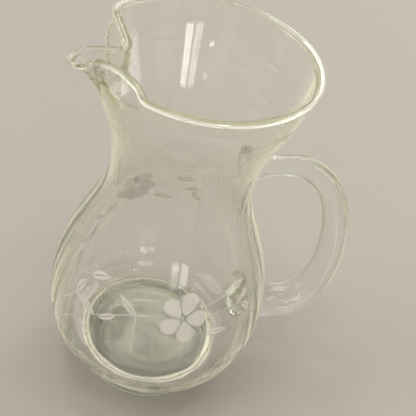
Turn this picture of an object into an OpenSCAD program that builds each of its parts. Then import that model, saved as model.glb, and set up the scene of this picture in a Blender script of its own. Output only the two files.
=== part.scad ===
// Hand-blown glass cocktail pitcher: a blown body with a pinched pouring spout,
// a solid applied foot and a solid applied loop handle.
// The stand ring rests on z = 0 with its centre at the origin.
// The handle points along +X and the spout along -X.

/* [Body] */
// Height of the rim above the table
height = 202; // [180:1:230]
// Outer diameter of the belly at its widest
belly_d = 113.6; // [96:0.1:130]
// Height of the widest part of the belly
belly_z = 52; // [46:0.5:60]
// Outer diameter of the neck
neck_d = 70.2; // [60:0.1:80]
// Height of the narrowest part of the neck
neck_z = 136; // [126:0.5:142]
// Outer diameter of the round part of the rim
rim_d = 104; // [98:0.1:114]
// Lean of the wall from the vertical where it meets the rim, in degrees
rim_lean = 6; // [3:0.5:14]
// Thickness of the blown wall from the neck up
wall_t = 2.8; // [2:0.1:3.2]
// Thickness of the wall at the widest part of the belly
belly_wall_t = 3.8; // [2.8:0.1:5]
// Diameter of the fire-polished bead along the rim
bead_d = 3.4; // [2.8:0.1:4.4]
// Thickness of the body's own floor over the foot
floor_t = 6; // [4:0.1:9]
// Diameter of the flat part of the floor inside
floor_d = 58; // [48:0.5:66]

/* [Foot] */
// Height of the solid foot
foot_h = 18; // [12:0.5:22]
// Diameter of the foot just below its fused corner with the body
foot_top_d = 71; // [64:0.1:76]
// Radius of the fused corner that runs out from the foot's side under the body
corner_r = 3.6; // [2:0.1:5]
// Diameter of the foot just above the table
foot_d = 67; // [60:0.1:72]
// Width of the flat stand ring that touches the table
ring_w = 5; // [3:0.1:7]
// Radius of the rounded edge between the foot's side and its ring
foot_edge_r = 1.3; // [0.8:0.1:2]
// Depth of the hollow ground into the underside
punt_depth = 2.4; // [1:0.1:5]

/* [Spout] */
// Reach of the spout's tip from the axis, to the middle of its bead
spout_reach = 60; // [58:0.1:66]
// Width of the spout's rounded tip, between the bead's centre lines
tip_w = 11; // [10:0.1:14]
// Width of the channel behind the tip, between the bead's centre lines
channel_w = 8.7; // [8:0.1:11]
// How far the channel's middle lies to the left of the plane through the handle
spout_aside = 1.6; // [0:0.1:2.4]
// Drop of the tip below the level rim
tip_drop = 2.8; // [0:0.1:5]
// Distance from the axis to the flat pressed left of the channel, seen from the handle
left_flat_x = 37.2; // [34:0.1:38]
// Distance from the axis to the flat pressed right of the channel
right_flat_x = 34.3; // [31:0.1:36]
// Where the soft left bend leaves the channel, and how far sideways it runs out
left_bend_x = 51; // [47:0.5:53]
left_bend_y = 28; // [22:0.5:29]
// Where the tight right bend leaves the channel, and how far sideways it runs out
right_bend_x = 39; // [38:0.5:44]
right_bend_y = 12; // [9:0.5:16]
// Radius of the bend from the left flat into the round rim
left_corner_r = 6; // [4:0.5:8]
// Radius of the bend from the right flat into the round rim
right_corner_r = 10; // [7:0.5:12]
// Drop from the rim to where the fold beside the channel starts
pinch_drop = 47; // [38:1:48]
// Drop from the rim to the foot of a pressed flat at its outer end
flat_drop = 7; // [5:0.5:12]
// Drop from the rim to where the lip of the spout starts to turn out
lip_drop = 23; // [16:1:28]

/* [Handle] */
// Diameter that the rod tapers from, at its upper joint
rod_top_d = 9.4; // [8:0.1:13]
// Diameter that the rod tapers to, at its lower joint
rod_low_d = 21.6; // [16:0.1:23]
// Reach of the rod's centre line from the body's axis
handle_reach = 98; // [90:0.5:110]
// Height of the rod's centre line at the upper joint
handle_top_z = 137.5; // [133:0.5:142]
// Height of the lowest part of the rod's centre line
handle_low_z = 34; // [31:0.5:38]
// How far the glass spreads at the upper joint, beyond the rod's radius
pad_top = 4; // [2:0.1:5]
// How far the glass spreads at the lower joint, beyond the rod's radius
pad_low = 4; // [2:0.1:5]
// Length of rod over which each joint spreads
pad_run = 18; // [12:0.5:22]

/* [Hidden] */
glass = [0.84, 0.88, 0.8];
thick_glass = [0.76, 0.83, 0.72];

belly_r = belly_d / 2;
neck_r = neck_d / 2;
rim_r = rim_d / 2;
bead_r = bead_d / 2;
foot_top_r = foot_top_d / 2;
foot_r = foot_d / 2;
floor_z = foot_h + floor_t;

// Pulls of the profile's curves, as shares of the height that each one spans
base_pull_share = 0.2;
low_belly_pull_share = 0.58;
high_belly_pull_share = 0.52;
low_neck_pull_share = 0.3;
high_neck_pull_share = 0.46;
rim_pull_share = 0.44;
floor_pull_share = 0.66;
// Share of the neck-to-rim curve that stays round, below the pinch
round_share = 0.2;
// How far the mouth's lower end keeps inside both faces of the round wall, and
// how far down the topmost band of that wall it starts, as a share of the band
mouth_skin = 0.1;
root_share = 0.5;

// Shares of the right and left bends that their curves pull over
right_bend_pull_share = 0.6;
left_bend_pull_share = 0.42;
// Thickness left in the drawn-out spout and the pressed flats, as a share
spout_thin_share = 0.7;
// Powers that shape the pinch: how its depth gathers at the folds, and how
// fully it holds on its way down
fold_power = 2.6;
hold_power = 0.7;
// Power that gathers the mouth's levels towards the rim
gather_power = 1.7;
// Stations of the handle's centre line: how far out, as shares of its reach
// beyond the neck, and how far down, as shares of its height
rod_out_shares = [-0.12, 0.21, 0.485, 0.728, 0.898, 0.986, 1, 0.922, 0.742, 0.518, 0.296, 0.1];
rod_down_shares = [0, 0.01, 0.034, 0.15, 0.328, 0.54, 0.754, 0.914, 1, 0.996, 0.955, 0.91];

// Steps along each curve
belly_steps = 14;
neck_steps = 14;
collar_steps = 3;
mouth_steps = 18;
floor_steps = 10;
edge_steps = 5;
corner_steps = 6;
punt_steps = 8;
rod_steps = 4;
rod_sides = 24;
// Points along half of the rim's outline: tip, channel, bend, flat, corner, round
tip_points = 5;
channel_points = 4;
bend_points = 13;
flat_points = 4;
corner_points = 4;
round_points = 22;
$fn = 96;

// Point at share t of the curve from a to d, pulled towards b and c
function curve(a, b, c, d, t) =
    pow(1 - t, 3) * a + 3 * pow(1 - t, 2) * t * b + 3 * (1 - t) * t * t * c + t * t * t * d;
function mix(a, b, t) = a + (b - a) * t;
function clamp01(t) = max(0, min(1, t));
// Smooth rise from 0 to 1
function ease(t) = clamp01(t) * clamp01(t) * (3 - 2 * clamp01(t));

// Outer profile: base to belly, belly to neck, neck to rim, as [radius, height]
base_at = [foot_top_r + corner_r, foot_h];
belly_at = [belly_r, belly_z];
neck_at = [neck_r, neck_z];
rim_at = [rim_r - bead_r + wall_t / 2, height - bead_r];
base_rise = belly_z - foot_h;
neck_rise = neck_z - belly_z;
rim_rise = rim_at[1] - neck_z;
rim_pull = rim_rise * rim_pull_share;

function low_wall(t) = curve(
    base_at,
    base_at + [base_rise * base_pull_share, 0],
    belly_at - [0, base_rise * low_belly_pull_share],
    belly_at,
    t);
function shoulder(t) = curve(
    belly_at,
    belly_at + [0, neck_rise * high_belly_pull_share],
    neck_at - [0, neck_rise * low_neck_pull_share],
    neck_at,
    t);
function flare(t) = curve(
    neck_at,
    neck_at + [0, rim_rise * high_neck_pull_share],
    rim_at - rim_pull * [sin(rim_lean), cos(rim_lean)],
    rim_at,
    t);
function inner_floor(t) = curve(
    [floor_d / 2, floor_z],
    [floor_d / 2 + (belly_z - floor_z) * floor_pull_share, floor_z],
    [belly_r - belly_wall_t, belly_z - (belly_z - floor_z) * floor_pull_share],
    [belly_r - belly_wall_t, belly_z],
    t);
// Thickness of the wall at height z, which thins from the belly to the neck
function wall_at(z) = mix(belly_wall_t, wall_t, ease((z - belly_z) / neck_rise));
function thinned(points) = [for (p = points) p - [wall_at(p[1]), 0]];
function reversed(points) = [for (i = [len(points) - 1:-1:0]) points[i]];

low_points = [for (i = [0:belly_steps]) low_wall(i / belly_steps)];
shoulder_points = [for (i = [1:neck_steps]) shoulder(i / neck_steps)];
collar_points = [for (i = [1:collar_steps]) flare(round_share * i / collar_steps)];
collar_at = collar_points[collar_steps - 1];
root_at = mix(collar_at, collar_points[collar_steps - 2], root_share);
outer_points = concat(low_points, shoulder_points, collar_points);
inner_points = concat(
    [for (i = [0:floor_steps]) inner_floor(i / floor_steps)],
    thinned(shoulder_points),
    thinned(collar_points));

// Half of the rim's centre line in plan, spout along +X here, from the tip round
// to the back: quarter of the tip, channel, bend, pressed flat, corner, round
rim_mid_r = rim_r - bead_r;
tip_r = tip_w / 2;
tip_x = spout_reach - tip_r;
channel_y = channel_w / 2;
function corner_at(flat_x, r) =
    [flat_x - r, sqrt(pow(rim_mid_r - r, 2) - pow(flat_x - r, 2))];
function half_rim(aside, flat_x, bend_x, bend_y, pull, r) =
    let (
        bend_from = [bend_x, channel_y + aside],
        corner = corner_at(flat_x, r),
        turn = atan2(corner[1], corner[0]))
    concat(
        [for (i = [0:tip_points - 1]) let (a = 90 * i / tip_points)
            [tip_x + tip_r * cos(a), tip_r * sin(a) + aside]],
        [for (i = [0:channel_points - 1]) let (t = i / channel_points)
            [mix(tip_x, bend_x, t), mix(tip_r, channel_y, ease(t)) + aside]],
        [for (i = [0:bend_points - 1])
            curve(
                bend_from,
                [mix(bend_x, flat_x, pull), bend_from[1]],
                [flat_x, mix(bend_y, bend_from[1], pull)],
                [flat_x, bend_y],
                i / bend_points)],
        [for (i = [0:flat_points - 1]) [flat_x, mix(bend_y, corner[1], i / flat_points)]],
        [for (i = [0:corner_points - 1]) let (a = turn * i / corner_points)
            corner + r * [cos(a), sin(a)]],
        [for (i = [0:round_points]) let (a = mix(turn, 180, i / round_points))
            rim_mid_r * [cos(a), sin(a)]]);
left_rim = half_rim(
    spout_aside,
    left_flat_x,
    left_bend_x,
    left_bend_y,
    left_bend_pull_share,
    left_corner_r);
right_rim = half_rim(
    -spout_aside,
    right_flat_x,
    right_bend_x,
    right_bend_y,
    right_bend_pull_share,
    right_corner_r);
spout_count = tip_points + channel_points + bend_points + flat_points + corner_points;
half_count = len(left_rim);
rim_outline = concat(
    left_rim,
    [for (i = [half_count - 2:-1:1]) [right_rim[i][0], -right_rim[i][1]]]);
rim_count = len(rim_outline);

// Each outline point as radius and angle, and the even angle that it relaxes
// to where the wall is still round below the pinch
function rim_radius(k) = norm(rim_outline[k]);
function rim_angle(k) = atan2(rim_outline[k][1], rim_outline[k][0]);
function round_angle(k) =
    k >= rim_count - spout_count ? rim_angle(rim_count - spout_count) * (rim_count - k) / spout_count
    : k <= spout_count ? rim_angle(spout_count) * k / spout_count
    : rim_angle(k);

// Drop of the pinch below outline point k: deepest at the folds beside the
// channel, least at the outer ends of the flats
fold_depth = rim_mid_r - min([for (k = [0:rim_count - 1]) rim_radius(k)]);
function drop_at(k) =
    mix(flat_drop, pinch_drop, pow(clamp01((rim_mid_r - rim_radius(k)) / fold_depth), fold_power));

// Shares of a pinch of the given drop and of the turned-out lip that are
// reached at height z, how far outline point k lies towards the tip, and how
// fully it belongs to the spout and the flats
function pinch_at(z, drop) = pow(ease((z - height + drop) / (drop - bead_r)), hold_power);
function lip_at(z) = pow(clamp01((z - height + lip_drop) / (lip_drop - bead_r)), 2);
function tip_at(k) = clamp01((rim_radius(k) - rim_mid_r) / (spout_reach - rim_mid_r));
function spout_at(k) = clamp01((spout_count - min(k, rim_count - k)) / corner_points);

// Centre of the wall at outline point k, for a round wall of radius r at height z
function wall_centre(k, r, z) =
    let (
        out = rim_radius(k) - rim_mid_r,
        rho = r + out * (out > 0 ? lip_at(z) : pinch_at(z, drop_at(k))),
        a = mix(round_angle(k), rim_angle(k), pinch_at(z, pinch_drop)))
    rho * [cos(a), sin(a)];
function wall_loop(r, z) = [for (k = [0:rim_count - 1]) wall_centre(k, r, z)];
function across(v) = [v[1], -v[0]] / norm(v);
// Face of the wall at one level: its centre loop moved outwards by step, which
// thins in the spout, and set at its height, which drops towards the tip
function face_loop(m, step) =
    let (
        loop = wall_loop(m[0], m[1]),
        lip = lip_at(m[1]))
    [for (k = [0:rim_count - 1])
        let (
            ahead = loop[(k + 1) % rim_count],
            behind = loop[(k + rim_count - 1) % rim_count],
            thin = mix(1, spout_thin_share, spout_at(k) * lip),
            p = loop[k] + step * thin * across(ahead - behind))
        [p[0], p[1], m[2] - tip_drop * tip_at(k) * lip]];

// Levels of the mouth as [radius of the round wall's centre, height of the
// shape, height of the loop, half thickness], from the collar up to the bead
mouth_roots = [for (p = [root_at, collar_at])
    [p[0] - wall_t / 2, p[1], p[1], wall_t / 2 - mouth_skin]];
mouth_walls = [for (i = [1:mouth_steps])
    let (p = flare(mix(1, round_share, pow(1 - i / mouth_steps, gather_power))))
    [p[0] - wall_t / 2, p[1], p[1], wall_t / 2]];
bead_from = -acos(wall_t / bead_d);
bead_walls = [for (i = [1:edge_steps])
    let (a = mix(bead_from, 90, i / edge_steps))
    [rim_mid_r, height - bead_r, height - bead_r + bead_r * sin(a), bead_r * cos(a)]];
mouth_levels = concat(mouth_roots, mouth_walls, bead_walls);
level_count = len(mouth_levels);
mouth_loops = concat(
    [for (m = mouth_levels) face_loop(m, m[3])],
    [for (i = [level_count - 2:-1:0]) face_loop(mouth_levels[i], -mouth_levels[i][3])]);

// Closed ring of loops, each of n points, as triangles whose long edges lean one
// way on the left half and the other way on the right half
function ring_faces(loops, n) = [for (j = [0:loops - 1], k = [0:n - 1])
    let (
        a = j * n + k,
        b = j * n + (k + 1) % n,
        c = ((j + 1) % loops) * n + k,
        d = ((j + 1) % loops) * n + (k + 1) % n)
    each (k < n / 2) == (j < loops / 2) ? [[a, c, d], [a, d, b]] : [[a, c, b], [b, c, d]]];
function flat_list(lists) = [for (one = lists) each one];

// Wall around the mouth, with the spout drawn out between two pressed flats
module mouth() {
    rotate([0, 0, 180])
        polyhedron(points = flat_list(mouth_loops), faces = ring_faces(len(mouth_loops), rim_count));
}

// Round part of the body, from its seat on the foot up to the collar
module bowl() {
    rotate_extrude()
        polygon(concat([[0, foot_h]], outer_points, reversed(inner_points), [[0, floor_z]]));
}

module body() {
    color(glass) union() {
        bowl();
        mouth();
    }
}

// Side of the foot: rounded edge above the ring, a straight taper, and the fused
// corner that runs out level under the body
foot_side = concat(
    [for (i = [0:edge_steps]) let (a = 90 * i / edge_steps)
        [foot_r - foot_edge_r * (1 - sin(a)), foot_edge_r * (1 - cos(a))]],
    [for (i = [0:corner_steps]) let (a = 90 * i / corner_steps)
        [foot_top_r + corner_r * (1 - cos(a)), foot_h - corner_r * (1 - sin(a))]]);
ring_inner_r = foot_r - foot_edge_r - ring_w;
// Hollow of the underside, a shallow dome inside the ring
punt_points = [for (i = [0:punt_steps]) let (a = 90 * i / punt_steps)
    [ring_inner_r * sin(a), punt_depth * cos(a)]];

module foot() {
    color(thick_glass) rotate_extrude()
        polygon(concat(punt_points, foot_side, [[0, foot_h]]));
}

// Centre line of the handle in the XZ plane, a smooth curve through its stations
rod_stations = [for (i = [0:len(rod_out_shares) - 1])
    [
        mix(neck_r, handle_reach, rod_out_shares[i]),
        mix(handle_top_z, handle_low_z, rod_down_shares[i])]];
rod_spans = len(rod_stations) - 1;
function rod_point(i, t) =
    let (
        a = rod_stations[max(i - 1, 0)],
        b = rod_stations[i],
        c = rod_stations[i + 1],
        d = rod_stations[min(i + 2, rod_spans)])
    curve(b, b + (c - a) / 6, c - (d - b) / 6, c, t);
rod_line = concat(
    [for (i = [0:rod_spans - 1], j = [0:rod_steps - 1]) rod_point(i, j / rod_steps)],
    [rod_stations[rod_spans]]);
rod_count = len(rod_line);

// Radius of the rod at ring i: an even taper that spreads at both joints
function spread(run) = pow(clamp01(1 - run / pad_run), 2);
function rod_radius(i) =
    let (along = i / (rod_count - 1))
    mix(rod_top_d, rod_low_d, along) / 2
    + (along < 1 / 2
        ? pad_top * spread(rod_line[i][0] - neck_r)
        : pad_low * spread(rod_line[i][0] - belly_r + wall_t));
function rod_ring(i) =
    let (
        ahead = rod_line[min(i + 1, rod_count - 1)],
        behind = rod_line[max(i - 1, 0)],
        side = across(ahead - behind),
        r = rod_radius(i))
    [for (k = [0:rod_sides - 1]) let (a = 360 * k / rod_sides)
        [rod_line[i][0] + r * cos(a) * side[0], r * sin(a), rod_line[i][1] + r * cos(a) * side[1]]];
rod_last = (rod_count - 1) * rod_sides;
rod_faces = concat(
    [for (j = [0:rod_count - 2], k = [0:rod_sides - 1])
        let (
            a = j * rod_sides + k,
            b = j * rod_sides + (k + 1) % rod_sides,
            c = a + rod_sides,
            d = b + rod_sides)
        each [[a, c, d], [a, d, b]]],
    [[for (k = [0:rod_sides - 1]) k]],
    [[for (k = [rod_sides - 1:-1:0]) rod_last + k]]);

// Everything inside the round outer face, which the handle's ends are shaped to
module outer_form() {
    rotate_extrude()
        polygon(concat([[0, foot_h]], outer_points, [[0, collar_at[1]]]));
}

module handle() {
    color(thick_glass) difference() {
        polyhedron(points = flat_list([for (i = [0:rod_count - 1]) rod_ring(i)]), faces = rod_faces);
        outer_form();
    }
}

body();
foot();
handle();
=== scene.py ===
import math

import bmesh
import bpy
from mathutils import Matrix, Vector


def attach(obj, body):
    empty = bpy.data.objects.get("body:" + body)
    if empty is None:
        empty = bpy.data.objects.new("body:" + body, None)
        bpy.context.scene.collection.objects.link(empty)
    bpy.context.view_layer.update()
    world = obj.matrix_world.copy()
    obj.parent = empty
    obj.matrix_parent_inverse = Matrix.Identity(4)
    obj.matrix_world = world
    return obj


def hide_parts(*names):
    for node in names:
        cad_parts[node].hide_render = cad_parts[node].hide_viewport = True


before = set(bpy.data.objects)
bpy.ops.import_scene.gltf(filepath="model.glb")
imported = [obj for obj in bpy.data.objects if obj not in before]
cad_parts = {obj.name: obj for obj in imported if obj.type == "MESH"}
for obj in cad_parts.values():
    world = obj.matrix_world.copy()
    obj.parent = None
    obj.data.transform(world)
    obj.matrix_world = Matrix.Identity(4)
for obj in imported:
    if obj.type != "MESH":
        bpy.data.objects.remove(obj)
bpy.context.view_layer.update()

# ---------------------------------------------------------------------------
# Camera: above the spout side, looking down into the mouth, so that the handle
# shows at the right and the spout at the upper left.
# ---------------------------------------------------------------------------
lens = bpy.data.cameras.new("table_view")
lens.sensor_width = 36
lens.lens = 73.75
lens.clip_start = 0.01
camera = bpy.data.objects.new("table_view", lens)
bpy.context.scene.collection.objects.link(camera)
bpy.context.scene.camera = camera
handle_turn = Matrix.Rotation(math.radians(-23), 3, "Z")
aim_right = handle_turn @ Vector((0.97583, 0.11178, 0.18779))
aim_up = handle_turn @ Vector((-0.21521, 0.64093, 0.73681))
aim_back = handle_turn @ Vector((-0.03800, -0.75942, 0.64949))
stand_point = handle_turn @ Vector((0, -0.319507, 0.388982))
aim = Matrix((aim_right, aim_up, aim_back)).transposed().to_4x4()
camera.matrix_world = Matrix.Translation(stand_point) @ aim

# ---------------------------------------------------------------------------
# Body: clear glass blown in one gather, with a round belly, a narrow neck and a
# flared mouth. The rim is fire polished to a bead; the spout is pinched out of
# the hot rim between two pressed flats that hold back the ice.
# ---------------------------------------------------------------------------
mm = 0.001
foot_height = 18
foot_top_radius, fused_corner = 35.5, 3.6
seat_radius = foot_top_radius + fused_corner
belly_radius, belly_height = 56.8, 52
neck_radius, neck_height = 35.1, 136
rim_radius, rim_height = 52, 202
rim_lean = math.radians(6)
bead_radius = 1.7
wall, belly_wall = 2.8, 3.8
rim_middle = rim_radius - bead_radius
rim_top = (rim_radius - 2 * bead_radius + wall / 2, rim_height - bead_radius)
floor_radius, floor_height = 29, 24
fused_overlap, seat_gap = 0.02, 0.3

# Pulls of the profile's curves, as shares of the height that each one spans
base_pull, low_belly_pull, high_belly_pull = 0.2, 0.58, 0.52
low_neck_pull, high_neck_pull, rim_pull, floor_pull = 0.3, 0.46, 0.44, 0.66


def pulled(a, b, c, d, t):
    s = 1 - t
    weights = (s * s * s, 3 * s * s * t, 3 * s * t * t, t * t * t)
    return tuple(sum(w * p[i] for w, p in zip(weights, (a, b, c, d))) for i in (0, 1))


def between(a, b, t):
    return a + (b - a) * t


def held(t):
    return max(0.0, min(1.0, t))


def eased(t):
    t = held(t)
    return t * t * (3 - 2 * t)


def base_curve(t):
    rise = belly_height - foot_height
    return pulled(
        (seat_radius, foot_height),
        (seat_radius + base_pull * rise, foot_height),
        (belly_radius, belly_height - low_belly_pull * rise),
        (belly_radius, belly_height),
        t)


def shoulder_curve(t):
    rise = neck_height - belly_height
    return pulled(
        (belly_radius, belly_height),
        (belly_radius, belly_height + high_belly_pull * rise),
        (neck_radius, neck_height - low_neck_pull * rise),
        (neck_radius, neck_height),
        t)


def flare_curve(t):
    rise = rim_top[1] - neck_height
    pull = rim_pull * rise
    return pulled(
        (neck_radius, neck_height),
        (neck_radius, neck_height + high_neck_pull * rise),
        (rim_top[0] - pull * math.sin(rim_lean), rim_top[1] - pull * math.cos(rim_lean)),
        rim_top,
        t)


def floor_curve(t):
    pull = floor_pull * (belly_height - floor_height)
    return pulled(
        (floor_radius, floor_height),
        (floor_radius + pull, floor_height),
        (belly_radius - belly_wall, belly_height - pull),
        (belly_radius - belly_wall, belly_height),
        t)


def wall_at(z):
    return between(belly_wall, wall, eased((z - belly_height) / (neck_height - belly_height)))


# The rim's centre line in plan, spout along +X here: tip, channel, bend, pressed
# flat, corner and round, for the left and for the right side
spout_reach, tip_radius, channel_half = 60, 5.5, 4.35
spout_aside = 1.6
tip_centre = spout_reach - tip_radius
tip_run, channel_run, bend_run, flat_run, corner_run, round_run = 12, 10, 20, 10, 10, 56
spout_run = tip_run + channel_run + bend_run + flat_run + corner_run


def half_rim(aside, flat_x, bend_x, bend_y, bend_pull, corner_radius):
    line = []
    for i in range(tip_run):
        a = math.pi / 2 * i / tip_run
        line.append((tip_centre + tip_radius * math.cos(a), tip_radius * math.sin(a) + aside))
    for i in range(channel_run):
        t = i / channel_run
        half = between(tip_radius, channel_half, eased(t))
        line.append((between(tip_centre, bend_x, t), half + aside))
    side = channel_half + aside
    for i in range(bend_run):
        line.append(pulled(
            (bend_x, side),
            (between(bend_x, flat_x, bend_pull), side),
            (flat_x, between(bend_y, side, bend_pull)),
            (flat_x, bend_y),
            i / bend_run))
    r = corner_radius
    corner = (flat_x - r, math.sqrt((rim_middle - r) ** 2 - (flat_x - r) ** 2))
    for i in range(flat_run):
        line.append((flat_x, between(bend_y, corner[1], i / flat_run)))
    turn = math.atan2(corner[1], corner[0])
    for i in range(corner_run):
        a = turn * i / corner_run
        line.append((corner[0] + r * math.cos(a), corner[1] + r * math.sin(a)))
    for i in range(round_run + 1):
        a = between(turn, math.pi, i / round_run)
        line.append((rim_middle * math.cos(a), rim_middle * math.sin(a)))
    return line


left_rim = half_rim(
    spout_aside, flat_x=37.2, bend_x=51, bend_y=28, bend_pull=0.42, corner_radius=6)
right_rim = half_rim(
    -spout_aside, flat_x=34.3, bend_x=39, bend_y=12, bend_pull=0.6, corner_radius=10)
rim_line = left_rim + [(x, -y) for x, y in right_rim[-2:0:-1]]
rim_count = len(rim_line)
rim_radii = [math.hypot(x, y) for x, y in rim_line]
rim_angles = [math.atan2(y, x) for x, y in rim_line]
fold_depth = rim_middle - min(rim_radii)


def even_angle(k):
    if k >= rim_count - spout_run:
        return rim_angles[rim_count - spout_run] * (rim_count - k) / spout_run
    if k <= spout_run:
        return rim_angles[spout_run] * k / spout_run
    return rim_angles[k]


# How far below the rim the pinch, the pressed flats and the lip fade away, how
# much lower the tip hangs, how thin the spout is drawn, and the powers that shape
# the pinch's hold on its way down, its depth at the folds and the lip's turn out
pinch_drop, flat_drop, lip_drop = 47, 7, 23
tip_drop, spout_thin = 2.8, 0.7
hold_power, fold_power, lip_power = 0.7, 2.6, 2


def pinch_share(z, drop):
    return eased((z - rim_height + drop) / (drop - bead_radius)) ** hold_power


def lip_share(z):
    return held((z - rim_height + lip_drop) / (lip_drop - bead_radius)) ** lip_power


def wall_loop(r, z, step, height):
    middle = []
    lip = lip_share(z)
    fold = pinch_share(z, pinch_drop)
    for k in range(rim_count):
        out = rim_radii[k] - rim_middle
        drop = between(flat_drop, pinch_drop, held(-out / fold_depth) ** fold_power)
        rho = r + out * (lip if out > 0 else pinch_share(z, drop))
        a = between(even_angle(k), rim_angles[k], fold)
        middle.append((rho * math.cos(a), rho * math.sin(a)))
    loop = []
    for k in range(rim_count):
        ahead, behind = middle[(k + 1) % rim_count], middle[k - 1]
        along = (ahead[0] - behind[0], ahead[1] - behind[1])
        length = math.hypot(*along)
        drawn = held((spout_run - min(k, rim_count - k)) / corner_run)
        tip = held((rim_radii[k] - rim_middle) / (spout_reach - rim_middle))
        thin = step * between(1, spout_thin, drawn * lip)
        x = middle[k][0] + thin * along[1] / length
        y = middle[k][1] - thin * along[0] / length
        loop.append((-x * mm, -y * mm, (height - tip_drop * tip * lip) * mm))
    return loop


belly_rings, shoulder_rings, flare_rings, bead_rings, disc_rings = 34, 40, 52, 8, 6
gather_power = 1.4


def glass_levels():
    outside = [base_curve(i / belly_rings) for i in range(belly_rings + 1)]
    outside += [shoulder_curve(i / shoulder_rings) for i in range(1, shoulder_rings + 1)]
    outside += [
        flare_curve(1 - (1 - i / flare_rings) ** gather_power) for i in range(1, flare_rings + 1)]
    levels = [(r - wall_at(z) / 2, z, wall_at(z) / 2, z) for r, z in outside]
    bead_start = -math.acos(wall / 2 / bead_radius)
    for i in range(1, bead_rings + 1):
        a = between(bead_start, math.pi / 2, i / bead_rings)
        z = rim_height - bead_radius
        levels.append((rim_middle, z, bead_radius * math.cos(a), z + bead_radius * math.sin(a)))
    inside = [(r, z, -step, height) for r, z, step, height in levels[-2:belly_rings:-1]]
    floor = [floor_curve(i / belly_rings) for i in range(belly_rings, -1, -1)]
    return levels, inside, floor


def round_loop(r, z):
    return [
        (-r * math.cos(even_angle(k)) * mm, -r * math.sin(even_angle(k)) * mm, z * mm)
        for k in range(rim_count)]


outer_levels, inner_levels, floor_levels = glass_levels()
under = foot_height - fused_overlap
body_loops = [
    round_loop(seat_radius * i / disc_rings - seat_gap, under) for i in range(1, disc_rings + 1)]
body_loops += [wall_loop(*level) for level in outer_levels + inner_levels]
body_loops += [round_loop(r, z) for r, z in floor_levels]
body_loops += [
    round_loop(floor_radius * i / disc_rings, floor_height) for i in range(disc_rings - 1, 0, -1)]

crease = math.radians(38)
least_pull_radius, pull_per_metre = 0.03, 10


# Closes a stack of loops into a skin. Its "pull" says where each point lies in the
# drawn glass: its turn round the axis and its height, or its turn and run on a rod
def skinned(name, loops, first, last, drawn=None):
    count = len(loops[0])
    points = [first] + [p for loop in loops for p in loop] + [last]
    faces = [(0, 1 + (k + 1) % count, 1 + k) for k in range(count)]
    for j in range(len(loops) - 1):
        for k in range(count):
            a, b = 1 + j * count + k, 1 + j * count + (k + 1) % count
            faces.append((a, b, b + count, a + count))
    end = len(points) - 1
    start = end - count
    faces += [(end, start + k, start + (k + 1) % count) for k in range(count)]
    mesh = bpy.data.meshes.new(name)
    mesh.from_pydata(points, [], faces)
    pull = mesh.attributes.new("pull", "FLOAT_VECTOR", "POINT")
    for i, (x, y, z) in enumerate(points):
        if drawn:
            pull.data[i].vector = drawn(max(0, i - 1) // count, max(0, i - 1) % count)
        else:
            r = max(least_pull_radius, math.hypot(x, y))
            pull.data[i].vector = (x / r, y / r, pull_per_metre * z)
    turn_outward(mesh)
    mesh.shade_smooth()
    mesh.set_sharp_from_angle(angle=crease)
    piece = bpy.data.objects.new(name, mesh)
    bpy.context.scene.collection.objects.link(piece)
    return piece


def turn_outward(mesh):
    form = bmesh.new()
    form.from_mesh(mesh)
    bmesh.ops.recalc_face_normals(form, faces=form.faces)
    form.to_mesh(mesh)
    form.free()


def fade(nodes, start, full, least=0.0, most=1.0, smooth=False):
    node = nodes.new("ShaderNodeMapRange")
    if smooth:
        node.interpolation_type = "SMOOTHSTEP"
    node.inputs["From Min"].default_value = start
    node.inputs["From Max"].default_value = full
    node.inputs["To Min"].default_value = least
    node.inputs["To Max"].default_value = most
    return node


def reckon(nodes, operation, amount=None):
    node = nodes.new("ShaderNodeMath")
    node.operation = operation
    if amount is not None:
        node.inputs[1].default_value = amount
    return node


def uneven(nodes, scale, detail):
    node = nodes.new("ShaderNodeTexNoise")
    node.inputs["Scale"].default_value = scale
    node.inputs["Detail"].default_value = detail
    return node


def graded(nodes, stops):
    node = nodes.new("ShaderNodeValToRGB")
    elements = node.color_ramp.elements
    while len(elements) < len(stops):
        elements.new(1)
    for element, (at, value) in zip(elements, stops):
        element.position = at
        element.color = (value, value, value, 1)
    return node


def drawn_waves(nodes, links, pull, scale):
    stretch = nodes.new("ShaderNodeMapping")
    stretch.inputs["Scale"].default_value = scale
    drift = uneven(nodes, 1, 2)
    links.new(pull.outputs["Vector"], stretch.inputs["Vector"])
    links.new(stretch.outputs["Vector"], drift.inputs["Vector"])
    return drift.outputs["Fac"]


# Where each mark of the glass starts and is full: its painted edge light by the slant
# of the face, its paler upper part, where the painted edge strands lean to the
# painted highlight, by height in the pull, and its strands of painted highlight and
# painted shade and its cords by wave
glass_ior = 1.5
# Colours of the painted shade and the painted highlight in the edges' strands
strand_painted_shade, strand_painted_light = (0.62, 0.66, 0.52, 1), (0.96, 0.94, 0.74, 1)
edge_start = 0.05
paler_start, paler_full, paler_lift = 1.3, 1.65, 0.17
strand_start, strand_full = 0.40, 0.58
cord_start, cord_full = 0.60, 0.70
pull_span = 2
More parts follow.
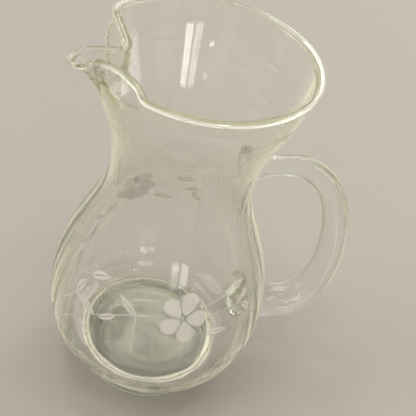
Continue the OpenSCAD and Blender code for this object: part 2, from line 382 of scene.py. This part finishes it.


# Clear glass with faint drawn waves: lines along the pull and, where it has rings,
# those instead wherever lines_at is 0, by shares of pull_span up the body. Towards
# the glass's edges it turns partly matt with painted light: strands of painted
# highlight and painted shade along the waves, a painted glow standing in for the
# light that the edges bend and reflect. The strongest waves show as cords
def clear_glass(
        name, tint, ripple, lines, rings=None, lines_at=None,
        edge_share=0.85, edge_full=0.6, cord_share=0.06):
    glass = bpy.data.materials.new(name)
    glass.use_nodes = True
    nodes, links = glass.node_tree.nodes, glass.node_tree.links
    surface = nodes["Principled BSDF"]
    surface.inputs["Roughness"].default_value = 0.0
    surface.inputs["IOR"].default_value = glass_ior

    pull = nodes.new("ShaderNodeAttribute")
    pull.attribute_name = "pull"
    level = nodes.new("ShaderNodeSeparateXYZ")
    links.new(pull.outputs["Vector"], level.inputs["Vector"])
    waves = drawn_waves(nodes, links, pull, lines)
    if rings:
        height_share = reckon(nodes, "DIVIDE", pull_span)
        lines_share = graded(nodes, lines_at)
        rings_or_lines = nodes.new("ShaderNodeMix")
        links.new(level.outputs["Z"], height_share.inputs[0])
        links.new(height_share.outputs["Value"], lines_share.inputs["Fac"])
        links.new(lines_share.outputs["Color"], rings_or_lines.inputs["Factor"])
        links.new(drawn_waves(nodes, links, pull, rings), rings_or_lines.inputs["A"])
        links.new(waves, rings_or_lines.inputs["B"])
        waves = rings_or_lines.outputs["Result"]

    bump = nodes.new("ShaderNodeBump")
    bump.inputs["Strength"].default_value = ripple
    bump.inputs["Distance"].default_value = mm
    links.new(waves, bump.inputs["Height"])
    links.new(bump.outputs["Normal"], surface.inputs["Normal"])

    slant = nodes.new("ShaderNodeFresnel")
    slant.inputs["IOR"].default_value = glass_ior
    edge = fade(nodes, edge_start, edge_full, smooth=True)
    # The painted edge strands lean to the painted highlight higher up
    paler_above = fade(nodes, paler_start, paler_full, most=paler_lift)
    paler_waves = reckon(nodes, "ADD")
    strand = fade(nodes, strand_start, strand_full, smooth=True)
    links.new(slant.outputs["Fac"], edge.inputs["Value"])
    links.new(level.outputs["Z"], paler_above.inputs["Value"])
    links.new(waves, paler_waves.inputs[0])
    links.new(paler_above.outputs["Result"], paler_waves.inputs[1])
    links.new(paler_waves.outputs["Value"], strand.inputs["Value"])

    # Painted light and shade at the edges: the strands mix the painted shade and the painted
    # highlight, which take over from the glass's tint as the edge comes
    painted_strand_shading = nodes.new("ShaderNodeMix")
    painted_strand_shading.data_type = "RGBA"
    painted_strand_shading.inputs["A"].default_value = strand_painted_shade
    painted_strand_shading.inputs["B"].default_value = strand_painted_light
    tint_and_edge_light = nodes.new("ShaderNodeMix")
    tint_and_edge_light.data_type = "RGBA"
    tint_and_edge_light.inputs["A"].default_value = tint
    links.new(strand.outputs["Result"], painted_strand_shading.inputs["Factor"])
    links.new(edge.outputs["Result"], tint_and_edge_light.inputs["Factor"])
    links.new(painted_strand_shading.outputs["Result"], tint_and_edge_light.inputs["B"])
    links.new(tint_and_edge_light.outputs["Result"], surface.inputs["Base Color"])

    # The painted glow: where edge and strand are strong, or on a cord, the glass turns less clear
    # and shows that painted colour
    glow = reckon(nodes, "MULTIPLY")
    cord = fade(nodes, cord_start, cord_full, most=cord_share, smooth=True)
    glow_or_cord = reckon(nodes, "MAXIMUM")
    clear_share = fade(nodes, 0, 1, least=1, most=1 - edge_share)
    links.new(edge.outputs["Result"], glow.inputs[0])
    links.new(strand.outputs["Result"], glow.inputs[1])
    links.new(waves, cord.inputs["Value"])
    links.new(glow.outputs["Value"], glow_or_cord.inputs[0])
    links.new(cord.outputs["Result"], glow_or_cord.inputs[1])
    links.new(glow_or_cord.outputs["Value"], clear_share.inputs["Value"])
    links.new(clear_share.outputs["Result"], surface.inputs["Transmission Weight"])
    return glass


# A fused joint between two glasses, drawn as a thin cream mirror film: a painted
# reflection standing in for the light that the joint reflects inside the glass. Its
# cover follows the distance from the body's axis as a share of seam_radius
seam_radius = 0.04
seam_reflection_color = (0.96, 0.93, 0.80, 1)


def painted_seam_reflection(name, stops):
    seam = bpy.data.materials.new(name)
    seam.use_nodes = True
    nodes, links = seam.node_tree.nodes, seam.node_tree.links
    surface = nodes["Principled BSDF"]
    # The cream mirror that paints the joint's reflection
    surface.inputs["Base Color"].default_value = seam_reflection_color
    surface.inputs["Metallic"].default_value = 1.0
    surface.inputs["Roughness"].default_value = 0.32
    place = nodes.new("ShaderNodeTexCoord")
    flat = nodes.new("ShaderNodeVectorMath")
    flat.operation = "MULTIPLY"
    flat.inputs[1].default_value = (1, 1, 0)
    radius = nodes.new("ShaderNodeVectorMath")
    radius.operation = "LENGTH"
    share = reckon(nodes, "DIVIDE", seam_radius)
    mirror_cover = graded(nodes, stops)
    cloud = uneven(nodes, 60, 1)
    patchy = fade(nodes, 0.3, 0.7, least=0.75, most=1.1)
    cover = reckon(nodes, "MULTIPLY")
    links.new(place.outputs["Object"], flat.inputs[0])
    links.new(flat.outputs["Vector"], radius.inputs[0])
    links.new(radius.outputs["Value"], share.inputs[0])
    links.new(share.outputs["Value"], mirror_cover.inputs["Fac"])
    links.new(place.outputs["Object"], cloud.inputs["Vector"])
    links.new(cloud.outputs["Fac"], patchy.inputs["Value"])
    links.new(mirror_cover.outputs["Color"], cover.inputs[0])
    links.new(patchy.outputs["Result"], cover.inputs[1])
    links.new(cover.outputs["Value"], surface.inputs["Alpha"])
    return seam


# Painted reflection under the body: a faint mirror film over the middle, a bright ring where the
# fused corner begins and full cover towards its edge
foot_seam_reflection = painted_seam_reflection("foot seam painted reflection", (
    (0, 0.2), (0.6, 0.22), (0.72, 0.08), (0.865, 0.08), (0.885, 0.9),
    (0.915, 0.9), (0.925, 0.3), (0.935, 0.3), (0.945, 1), (1, 1)))
hair, level_enough = 0.001, 0.99


def mark_foot_joint(piece, low, high):
    piece.data.materials.append(foot_seam_reflection)
    for face in piece.data.polygons:
        if low * mm <= face.center.z <= high * mm and abs(face.normal.z) > level_enough:
            face.material_index = 1


body = skinned("blown_body", body_loops, (0, 0, under * mm), (0, 0, floor_height * mm))
body.data.materials.append(clear_glass(
    "blown glass", (0.985, 0.985, 0.96, 1), ripple=0.04, lines=(18, 18, 0.5), rings=(1.5, 1.5, 22),
    lines_at=((0.15, 0), (0.31, 1), (0.72, 1), (0.84, 0)),
    edge_share=0.9, edge_full=0.42, cord_share=0.16))
mark_foot_joint(body, foot_height - 1, foot_height + hair)
body.data.materials.append(clear_glass(
    "fire-polished bead", (0.97, 0.975, 0.93, 1), ripple=0.02, lines=(1, 1, 20), edge_share=0.6))
bead_slot = 2
bead_from = disc_rings + len(outer_levels) - bead_rings - 1
bead_to = disc_rings + len(outer_levels) + bead_rings - 1
for face in body.data.polygons:
    if bead_from <= face.index // rim_count - 1 < bead_to:
        face.material_index = bead_slot
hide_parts("body")
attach(body, "root")

# ---------------------------------------------------------------------------
# Foot: a separate gather of solid clear glass, fused under the body, with a
# fire-polished edge, a flat stand ring and a hollow ground into its underside.
# ---------------------------------------------------------------------------
foot_radius, edge_radius, ring_width, hollow_depth = 33.5, 1.3, 5, 2.4
hollow_radius = foot_radius - edge_radius - ring_width
corner_height = foot_height - fused_corner
foot_sides = 160
hollow_rings, edge_rings, side_rings, corner_rings = 16, 8, 6, 10


def turned_loop(r, z):
    turns = (math.tau * k / foot_sides for k in range(foot_sides))
    return [(r * math.cos(a) * mm, r * math.sin(a) * mm, z * mm) for a in turns]


def quarter(i, steps):
    a = math.pi / 2 * i / steps
    return math.cos(a), math.sin(a)


foot_profile = []
for i in range(1, hollow_rings + 1):
    cosine, sine = quarter(i, hollow_rings)
    foot_profile.append((hollow_radius * sine, hollow_depth * cosine))
for i in range(edge_rings + 1):
    cosine, sine = quarter(i, edge_rings)
    foot_profile.append((foot_radius - edge_radius * (1 - sine), edge_radius * (1 - cosine)))
for i in range(1, side_rings + 1):
    t = i / side_rings
    foot_profile.append((
        between(foot_radius, foot_top_radius, t), between(edge_radius, corner_height, t)))
for i in range(1, corner_rings + 1):
    cosine, sine = quarter(i, corner_rings)
    foot_profile.append((seat_radius - fused_corner * cosine, corner_height + fused_corner * sine))
foot_profile += [
    (seat_radius * i / disc_rings, foot_height) for i in range(disc_rings - 1, 0, -1)]
foot = skinned(
    "solid_foot",
    [turned_loop(r, z) for r, z in foot_profile],
    (0, 0, hollow_depth * mm),
    (0, 0, foot_height * mm))

# The ground hollow is rough and hazy up to just above its own depth
ground_roughness, ground_haze, ground_top = 0.3, 0.8, 3
foot_glass = clear_glass(
    "solid foot glass", (0.95, 0.97, 0.91, 1), ripple=0.02, lines=(1.5, 1.5, 30))
nodes, links = foot_glass.node_tree.nodes, foot_glass.node_tree.links
surface = nodes["Principled BSDF"]
place = nodes.new("ShaderNodeTexCoord")
height = nodes.new("ShaderNodeSeparateXYZ")
ground = fade(nodes, hollow_depth * mm, ground_top * mm, least=ground_roughness, most=0)
haze = reckon(nodes, "MULTIPLY", ground_haze)
haze_left = reckon(nodes, "SUBTRACT")
clear_share = surface.inputs["Transmission Weight"].links[0].from_socket
links.new(place.outputs["Object"], height.inputs["Vector"])
links.new(height.outputs["Z"], ground.inputs["Value"])
links.new(ground.outputs["Result"], surface.inputs["Roughness"])
links.new(ground.outputs["Result"], haze.inputs[0])
links.new(clear_share, haze_left.inputs[0])
links.new(haze.outputs["Value"], haze_left.inputs[1])
links.new(haze_left.outputs["Value"], surface.inputs["Transmission Weight"])
foot.data.materials.append(foot_glass)
mark_foot_joint(foot, foot_height - hair, foot_height + hair)
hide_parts("foot")
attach(foot, "root")

# ---------------------------------------------------------------------------
# Handle: a drawn rod of solid glass, thicker towards its lower end and bent into
# an open loop. Both ends are pressed on and fused, the upper to the neck and the
# lower to the belly.
# ---------------------------------------------------------------------------
reach, top_height, low_height = 98, 137.5, 34
rod_top_width, rod_low_width = 9.4, 21.6
pad_rise, pad_run, pad_shows = 4, 18, 0.8
rod_out = [-0.12, 0.21, 0.485, 0.728, 0.898, 0.986, 1, 0.922, 0.742, 0.518, 0.296, 0.1]
rod_down = [0, 0.01, 0.034, 0.15, 0.328, 0.54, 0.754, 0.914, 1, 0.996, 0.955, 0.91]
rod_sides, knot_steps = 56, 10


def through(knots):
    line = []
    for i in range(len(knots) - 1):
        before, start = knots[max(i - 1, 0)], knots[i]
        stop, after = knots[i + 1], knots[min(i + 2, len(knots) - 1)]
        line += [pulled(
            start,
            (start[0] + (stop[0] - before[0]) / 6, start[1] + (stop[1] - before[1]) / 6),
            (stop[0] - (after[0] - start[0]) / 6, stop[1] - (after[1] - start[1]) / 6),
            stop,
            j / knot_steps) for j in range(knot_steps)]
    return line + [knots[-1]]


rod_line = through([
    (between(neck_radius, reach, out), between(top_height, low_height, down))
    for out, down in zip(rod_out, rod_down)])
rod_turns = [math.tau * k / rod_sides for k in range(rod_sides)]
rod_loops, rod_ends, pad_ends = [], [], []
for i, (x, z) in enumerate(rod_line):
    ahead, behind = rod_line[min(i + 1, len(rod_line) - 1)], rod_line[max(i - 1, 0)]
    along = (ahead[0] - behind[0], ahead[1] - behind[1])
    length = math.hypot(*along)
    share = i / (len(rod_line) - 1)
    pad_from = neck_radius if share < 0.5 else belly_radius - wall
    pad = pad_rise * held(1 - (x - pad_from) / pad_run) ** 2
    r = between(rod_top_width, rod_low_width, share) / 2 + pad
    if pad:
        rod_ends.append((x, z, r))
    if pad > pad_shows:
        pad_ends.append((x, z, r))
    rod_loops.append([
        (
            (x + r * math.cos(a) * along[1] / length) * mm,
            r * math.sin(a) * mm,
            (z - r * math.cos(a) * along[0] / length) * mm)
        for a in rod_turns])
first, last = rod_line[0], rod_line[-1]
handle = skinned(
    "loop_handle",
    rod_loops,
    (first[0] * mm, 0, first[1] * mm),
    (last[0] * mm, 0, last[1] * mm),
    lambda j, k: (math.cos(rod_turns[k]), math.sin(rod_turns[k]), j / len(rod_line)))


def outer_profile(base_steps, shoulder_steps, flare_steps, flare_share=1):
    return (
        [base_curve(i / base_steps) for i in range(base_steps + 1)]
        + [shoulder_curve(i / shoulder_steps) for i in range(1, shoulder_steps + 1)]
        + [flare_curve(flare_share * i / flare_steps) for i in range(1, flare_steps + 1)])


# The rod's ends are cut to the body's outer face, sunk a little into it
seat_form = [(r - seat_gap, z) for r, z in outer_profile(30, 60, 10, flare_share=0.3)]
seat = skinned(
    "seat_form",
    [turned_loop(r, z) for r, z in seat_form],
    (0, 0, foot_height * mm),
    (0, 0, seat_form[-1][1] * mm))
cut = handle.modifiers.new("seat", "BOOLEAN")
cut.operation = "DIFFERENCE"
cut.solver = "EXACT"
cut.object = seat
bpy.context.view_layer.update()
cut_handle = handle.evaluated_get(bpy.context.evaluated_depsgraph_get())
cut_rod = bpy.data.meshes.new_from_object(cut_handle)
handle.modifiers.clear()
handle.data = cut_rod
bpy.data.objects.remove(seat)
cut_rod.shade_smooth()
cut_rod.set_sharp_from_angle(angle=crease)

# Painted reflection at the handle's ends: a faint mirror film on the rod's cut faces and on the
# wall under them
handle_seam_reflection = painted_seam_reflection("handle seam", ((0, 0.1), (1, 0.1)))
cut_rod.materials.clear()
cut_rod.materials.append(clear_glass(
    "solid handle glass", (0.97, 0.98, 0.95, 1), ripple=0.14, lines=(6, 6, 1.5),
    edge_share=0.95, edge_full=0.3, cord_share=0.3))
cut_rod.materials.append(handle_seam_reflection)
cut_rod.materials.append(clear_glass(
    "fused pad glass", (0.985, 0.985, 0.96, 1), ripple=0.1, lines=(6, 6, 1.5), edge_share=0.3))
body.data.materials.append(handle_seam_reflection)
# A strong painted reflection in a band round the joint's outline on the wall
body.data.materials.append(painted_seam_reflection("handle seam edge", ((0, 0.85), (1, 0.85))))

# How near to a joint a face counts as part of its seam or its pad, in millimetres
rod_seam_slot, pad_slot, wall_seam_slot, wall_seam_edge_slot = 1, 2, 3, 4
handle_side, seam_margin, seam_edge = 30, 0.3, 1.5
seat_near, seat_step, pad_near = 0.06, 1.5, 0.3
for face in body.data.polygons[:rim_count * bead_from]:
    middle = face.center / mm
    if middle.x > handle_side:
        inside = max(r - math.dist(middle, (x, 0, z)) for x, z, r in rod_ends)
        if inside > -seam_margin:
            face.material_index = wall_seam_slot if inside > seam_edge else wall_seam_edge_slot
for face in cut_rod.polygons:
    middle = face.center / mm
    out = math.hypot(middle.x, middle.y)
    if any(abs(out - r) < seat_near and abs(middle.z - z) < seat_step for r, z in seat_form):
        face.material_index = rod_seam_slot
    elif min(math.dist(middle, (x, 0, z)) - r for x, z, r in pad_ends) < pad_near:
        face.material_index = pad_slot
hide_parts("handle")
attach(handle, "root")

# ---------------------------------------------------------------------------
# Cut flowers: a garland ground into the outer face of the body with small stone
# wheels. The cuts stay grey and matt; leaf veins and flower eyes are left clear.
# ---------------------------------------------------------------------------
flower_height, flower_turn = 87, 96
flower_size, petal_count, petal_stretch = 11.5, 5, 1.25
eye_radius = 0.13 * flower_size
leaf_bend, leaf_vein = -0.35, 0.05
stem_half, stem_depth = 0.28, 0.05
cut_lift, cut_depth = 0.03, 0.09
blade_steps, blade_across = 12, 4
outer_face = outer_profile(60, 120, 80)


def face_at(turn, z, lift):
    for (r0, z0), (r1, z1) in zip(outer_face, outer_face[1:]):
        if z0 <= z <= z1 and z1 > z0:
            r = between(r0, r1, (z - z0) / (z1 - z0))
            along = Vector((r1 - r0, z1 - z0)).normalized()
            break
    r, z = r + lift * along[1], z - lift * along[0]
    return (r * math.cos(turn) * mm, r * math.sin(turn) * mm, z * mm)


# Wraps a flat drawing round a centre on the body's outer face
def wrap(centre, x, y, lift):
    turn, z = centre
    r = math.hypot(*face_at(turn, z, 0)[:2]) / mm
    top = math.hypot(*face_at(turn, z + 1, 0)[:2]) / mm
    rise = 1 / math.hypot(1, top - r)
    here = math.hypot(*face_at(turn, z + y * rise, 0)[:2]) / mm
    return face_at(turn + x / here, z + y * rise, lift)


cut_points, cut_faces = [], []


def cut_blade(centre, line, widths, side_from=-1.0, side_to=1.0, depth=cut_depth):
    rows = []
    for i, ((x, y), half) in enumerate(zip(line, widths)):
        ax, ay = line[max(i - 1, 0)]
        bx, by = line[min(i + 1, len(line) - 1)]
        length = math.hypot(bx - ax, by - ay)
        nx, ny = -(by - ay) / length, (bx - ax) / length
        upper, lower = [], []
        for j in range(blade_across + 1):
            s = between(side_from, side_to, j / blade_across)
            px, py = x + nx * half * s, y + ny * half * s
            crown = 1 - (2 * j / blade_across - 1) ** 2
            upper.append(len(cut_points))
            cut_points.append(wrap(centre, px, py, cut_lift + depth * crown * held(half)))
            if 0 < j < blade_across:
                lower.append(len(cut_points))
                cut_points.append(wrap(centre, px, py, -cut_lift))
            else:
                lower.append(upper[-1])
        rows.append((upper, lower))
    for (up, low), (up_next, low_next) in zip(rows, rows[1:]):
        for j in range(blade_across):
            cut_faces.append((up[j], up_next[j], up_next[j + 1], up[j + 1]))
            cut_faces.append((low[j + 1], low_next[j + 1], low_next[j], low[j]))
    for upper, lower, turned in ((*rows[0], False), (*rows[-1], True)):
        cap = upper + lower[-2:0:-1]
        cut_faces.append(tuple(reversed(cap)) if turned else tuple(cap))


def bent_line(x, y, heading, length, bend):
    line = [(x, y)]
    step = length / blade_steps
    for i in range(blade_steps):
        a = heading + bend * (i + 0.5) / blade_steps
        line.append((line[-1][0] + step * math.cos(a), line[-1][1] + step * math.sin(a)))
    return line


def blade_widths(least, most, swell, fullness):
    return [
        max(least, most * math.sin(math.pi * (i / blade_steps) ** swell) ** fullness)
        for i in range(blade_steps + 1)]


def blossom(centre, spin):
    for n in range(petal_count):
        heading = spin + math.tau * n / petal_count
        petal = bent_line(
            eye_radius * math.cos(heading), eye_radius * math.sin(heading),
            heading, flower_size - eye_radius, bend=0)
        widths = blade_widths(least=0.12, most=0.5 * flower_size, swell=1.35, fullness=0.55)
        cut_blade(centre, [(x, petal_stretch * y) for x, y in petal], widths)


def leaf(centre, x, y, heading, length, side):
    heading = math.radians(heading if side > 0 else 180 - heading)
    line = bent_line(side * x, y, heading, length, leaf_bend * side)
    widths = blade_widths(least=0.1, most=0.17 * length, swell=0.9, fullness=0.85)
    cut_blade(centre, line, widths, side_from=leaf_vein)
    cut_blade(centre, line, widths, side_to=-leaf_vein)


def stem(centre, knots, side):
    line = [(side * x, y) for x, y in through(knots)]
    cut_blade(centre, line, [stem_half] * len(line), depth=stem_depth)


# Each trail: its stems as knots, and its leaves as x, y, heading and length, in
# millimetres and degrees from the flower's eye
toward_handle = (
    [[(8, 4), (14, 6.5), (21, 9)], [(9, -1), (20, 1), (33, 0), (42, -5)], [(6, -9), (12, -10)]],
    [(21, 9, 22, 13), (12, -10, 5, 13), (29, 0.5, 40, 10), (33, 0, -35, 10)])
front_trail = (
    [[(-9, 1), (-26, -3), (-45, -13), (-62, -27), (-74, -43)], [(-68, -20), (-58, -9), (-49, 5)]],
    [(-22, -2, 150, 12), (-33, -6, 225, 11), (-44, -12.5, 155, 11),
     (-58, -9, 68, 12.5), (-58, -9, -10, 11), (-49, 5, 35, 13.5)])
back_trail = (
    [[(-7, -6), (-12, -18), (-22, -31), (-34, -43), (-46, -52)], [(-9, 2), (-22, 2), (-36, -5)]],
    [(-10, -14, 255, 12), (-15, -23, 195, 11), (-22, -31, 250, 12), (-28, -37, 190, 11),
     (-35, -44, 245, 12), (-22, 2, 150, 11), (-29, 0, 225, 11), (-36, -5, 195, 12)])
for side, spin, trail in ((1, 1.2, front_trail), (-1, 1.9, back_trail)):
    centre = (math.radians(-flower_turn * side), flower_height)
    blossom(centre, spin)
    for stems, leaves in (toward_handle, trail):
        for knots in stems:
            stem(centre, knots, side)
        for x, y, heading, length in leaves:
            leaf(centre, x, y, heading, length, side)
cut_mesh = bpy.data.meshes.new("cut_flowers")
cut_mesh.from_pydata(cut_points, [], cut_faces)
turn_outward(cut_mesh)
cut_mesh.shade_smooth()
cut_flowers = bpy.data.objects.new("cut_flowers", cut_mesh)
bpy.context.scene.collection.objects.link(cut_flowers)

matt = bpy.data.materials.new("wheel-cut glass")
matt.use_nodes = True
nodes, links = matt.node_tree.nodes, matt.node_tree.links
ground_face = nodes["Principled BSDF"]
ground_face.inputs["Base Color"].default_value = (0.93, 0.89, 0.80, 1)
ground_face.inputs["Roughness"].default_value = 0.6
ground_face.inputs["Subsurface Weight"].default_value = 0.4
ground_face.inputs["Subsurface Radius"].default_value = (1, 1, 1)
ground_face.inputs["Subsurface Scale"].default_value = mm
ground_face.inputs["Alpha"].default_value = 0.55
grain = uneven(nodes, 900, 2)
place = nodes.new("ShaderNodeTexCoord")
grit = nodes.new("ShaderNodeBump")
grit.inputs["Strength"].default_value = 0.3
grit.inputs["Distance"].default_value = 0.5 * mm
links.new(place.outputs["Object"], grain.inputs["Vector"])
links.new(grain.outputs["Fac"], grit.inputs["Height"])
links.new(grit.outputs["Normal"], ground_face.inputs["Normal"])
cut_mesh.materials.append(matt)
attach(cut_flowers, "root")

# ---------------------------------------------------------------------------
# Studio: a plain pale table top in a soft white room, lit by two tall windows,
# large soft lamps at the sides and behind, and small lamps that sparkle.
# ---------------------------------------------------------------------------
table_half, table_drop = 3, -0.0002
table_corners = ((-1, -1), (1, -1), (1, 1), (-1, 1))
table_mesh = bpy.data.meshes.new("table_top")
table_mesh.from_pydata(
    [(x * table_half, y * table_half, table_drop) for x, y in table_corners],
    [],
    [(0, 1, 2, 3)])
table_top = bpy.data.objects.new("table_top", table_mesh)
bpy.context.scene.collection.objects.link(table_top)
paper = bpy.data.materials.new("pale paper")
paper.use_nodes = True
paper_face = paper.node_tree.nodes["Principled BSDF"]
paper_face.inputs["Base Color"].default_value = (0.42, 0.385, 0.345, 1)
paper_face.inputs["Roughness"].default_value = 0.9
table_mesh.materials.append(paper)

room = bpy.data.worlds.new("room")
bpy.context.scene.world = room
room.use_nodes = True
nodes, links = room.node_tree.nodes, room.node_tree.links
view = nodes.new("ShaderNodeTexCoord")
height = nodes.new("ShaderNodeSeparateXYZ")
level = fade(nodes, 0, 0.4, least=0.55, most=0.72, smooth=True)
links.new(view.outputs["Generated"], height.inputs["Vector"])
links.new(height.outputs["Z"], level.inputs["Value"])
links.new(level.outputs["Result"], nodes["Background"].inputs["Strength"])
nodes["Background"].inputs["Color"].default_value = (1, 0.985, 0.95, 1)

lamp_aim = Vector((0, 0, 0.1))


def soft_lamp(name, place, width, tall, power):
    lamp = bpy.data.lights.new(name, "AREA")
    lamp.shape = "RECTANGLE"
    lamp.size = width
    lamp.size_y = tall
    lamp.energy = power
    lamp.color = (1, 0.97, 0.92)
    holder = bpy.data.objects.new(name, lamp)
    holder.location = place
    holder.visible_camera = False
    holder.rotation_euler = (lamp_aim - Vector(place)).to_track_quat("-Z", "Y").to_euler()
    bpy.context.scene.collection.objects.link(holder)


soft_lamp("window_right", (0.08, -1.4, 0.45), width=0.2, tall=0.7, power=2.4)
soft_lamp("window_left", (-0.17, -1.37, 0.45), width=0.2, tall=0.7, power=1.4)
spot_places = (
    (-0.62, 0.75), (-0.55, 0.75), (-0.6, 0.35), (-0.53, 0.35),
    (0.5, 0.65), (0.57, 0.65), (0.75, 0.4), (0.82, 0.4))
for n, (x, z) in enumerate(spot_places):
    soft_lamp(f"spot_{n}", (x, -1.25, z), width=0.035, tall=0.035, power=0.12)
soft_lamp("left_softbox", (-1.2, 0.2, 0.9), width=0.8, tall=1.0, power=6)
soft_lamp("right_softbox", (1.0, 0.8, 1.0), width=0.8, tall=1.0, power=6.5)
soft_lamp("side_window", (1.2, -0.35, 0.3), width=0.35, tall=0.9, power=1.8)
soft_lamp("back_softbox", (0.1, 1.1, 1.25), width=0.9, tall=0.3, power=1.6)
ceiling_places = (
    (-0.35, -0.25), (-0.42, -0.25), (-0.3, 0.45), (-0.37, 0.45),
    (0.35, -0.3), (0.42, -0.3), (0.4, 0.4))
for n, (x, y) in enumerate(ceiling_places):
    soft_lamp(f"ceiling_lamp_{n}", (x, y, 1.5), width=0.08, tall=0.08, power=0.6)

bpy.context.scene.view_settings.view_transform = "Standard"
